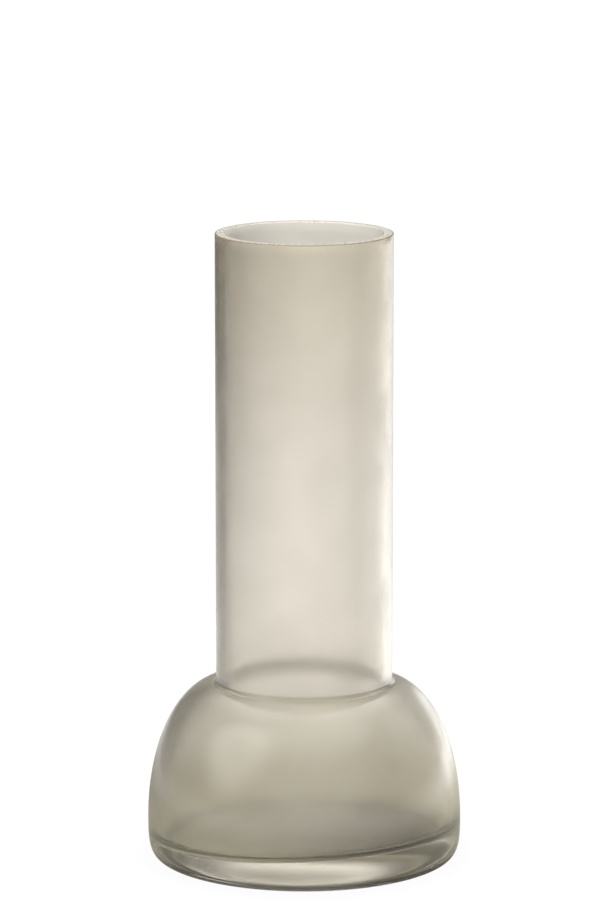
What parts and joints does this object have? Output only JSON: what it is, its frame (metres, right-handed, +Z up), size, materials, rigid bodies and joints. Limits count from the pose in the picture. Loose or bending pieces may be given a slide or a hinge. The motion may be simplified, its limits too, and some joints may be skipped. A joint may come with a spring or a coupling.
{
  "type": "glass vase",
  "caption": "Satin smoky glass flower vase: a straight cylinder neck with a flat ground rim on a wide, low domed bowl with a thick clear base.",
  "frame": {"origin": "centre of the plane that the vase stands on", "axes": "+Z up along the axis of the neck and the bowl; the vase is turned about it, so +X and +Y are alike"},
  "size_m": [0.1726, 0.1726, 0.346],
  "materials": {
    "satin_glass": "smoky taupe translucent glass, satin-frosted outside",
    "clear_glass": "thick smoky clear glass, glossy"
  },
  "bodies": {
    "root": {"glass_neck": "satin_glass", "glass_bowl": "satin_glass", "glass_base": "clear_glass"}
  },
  "joints": []
}
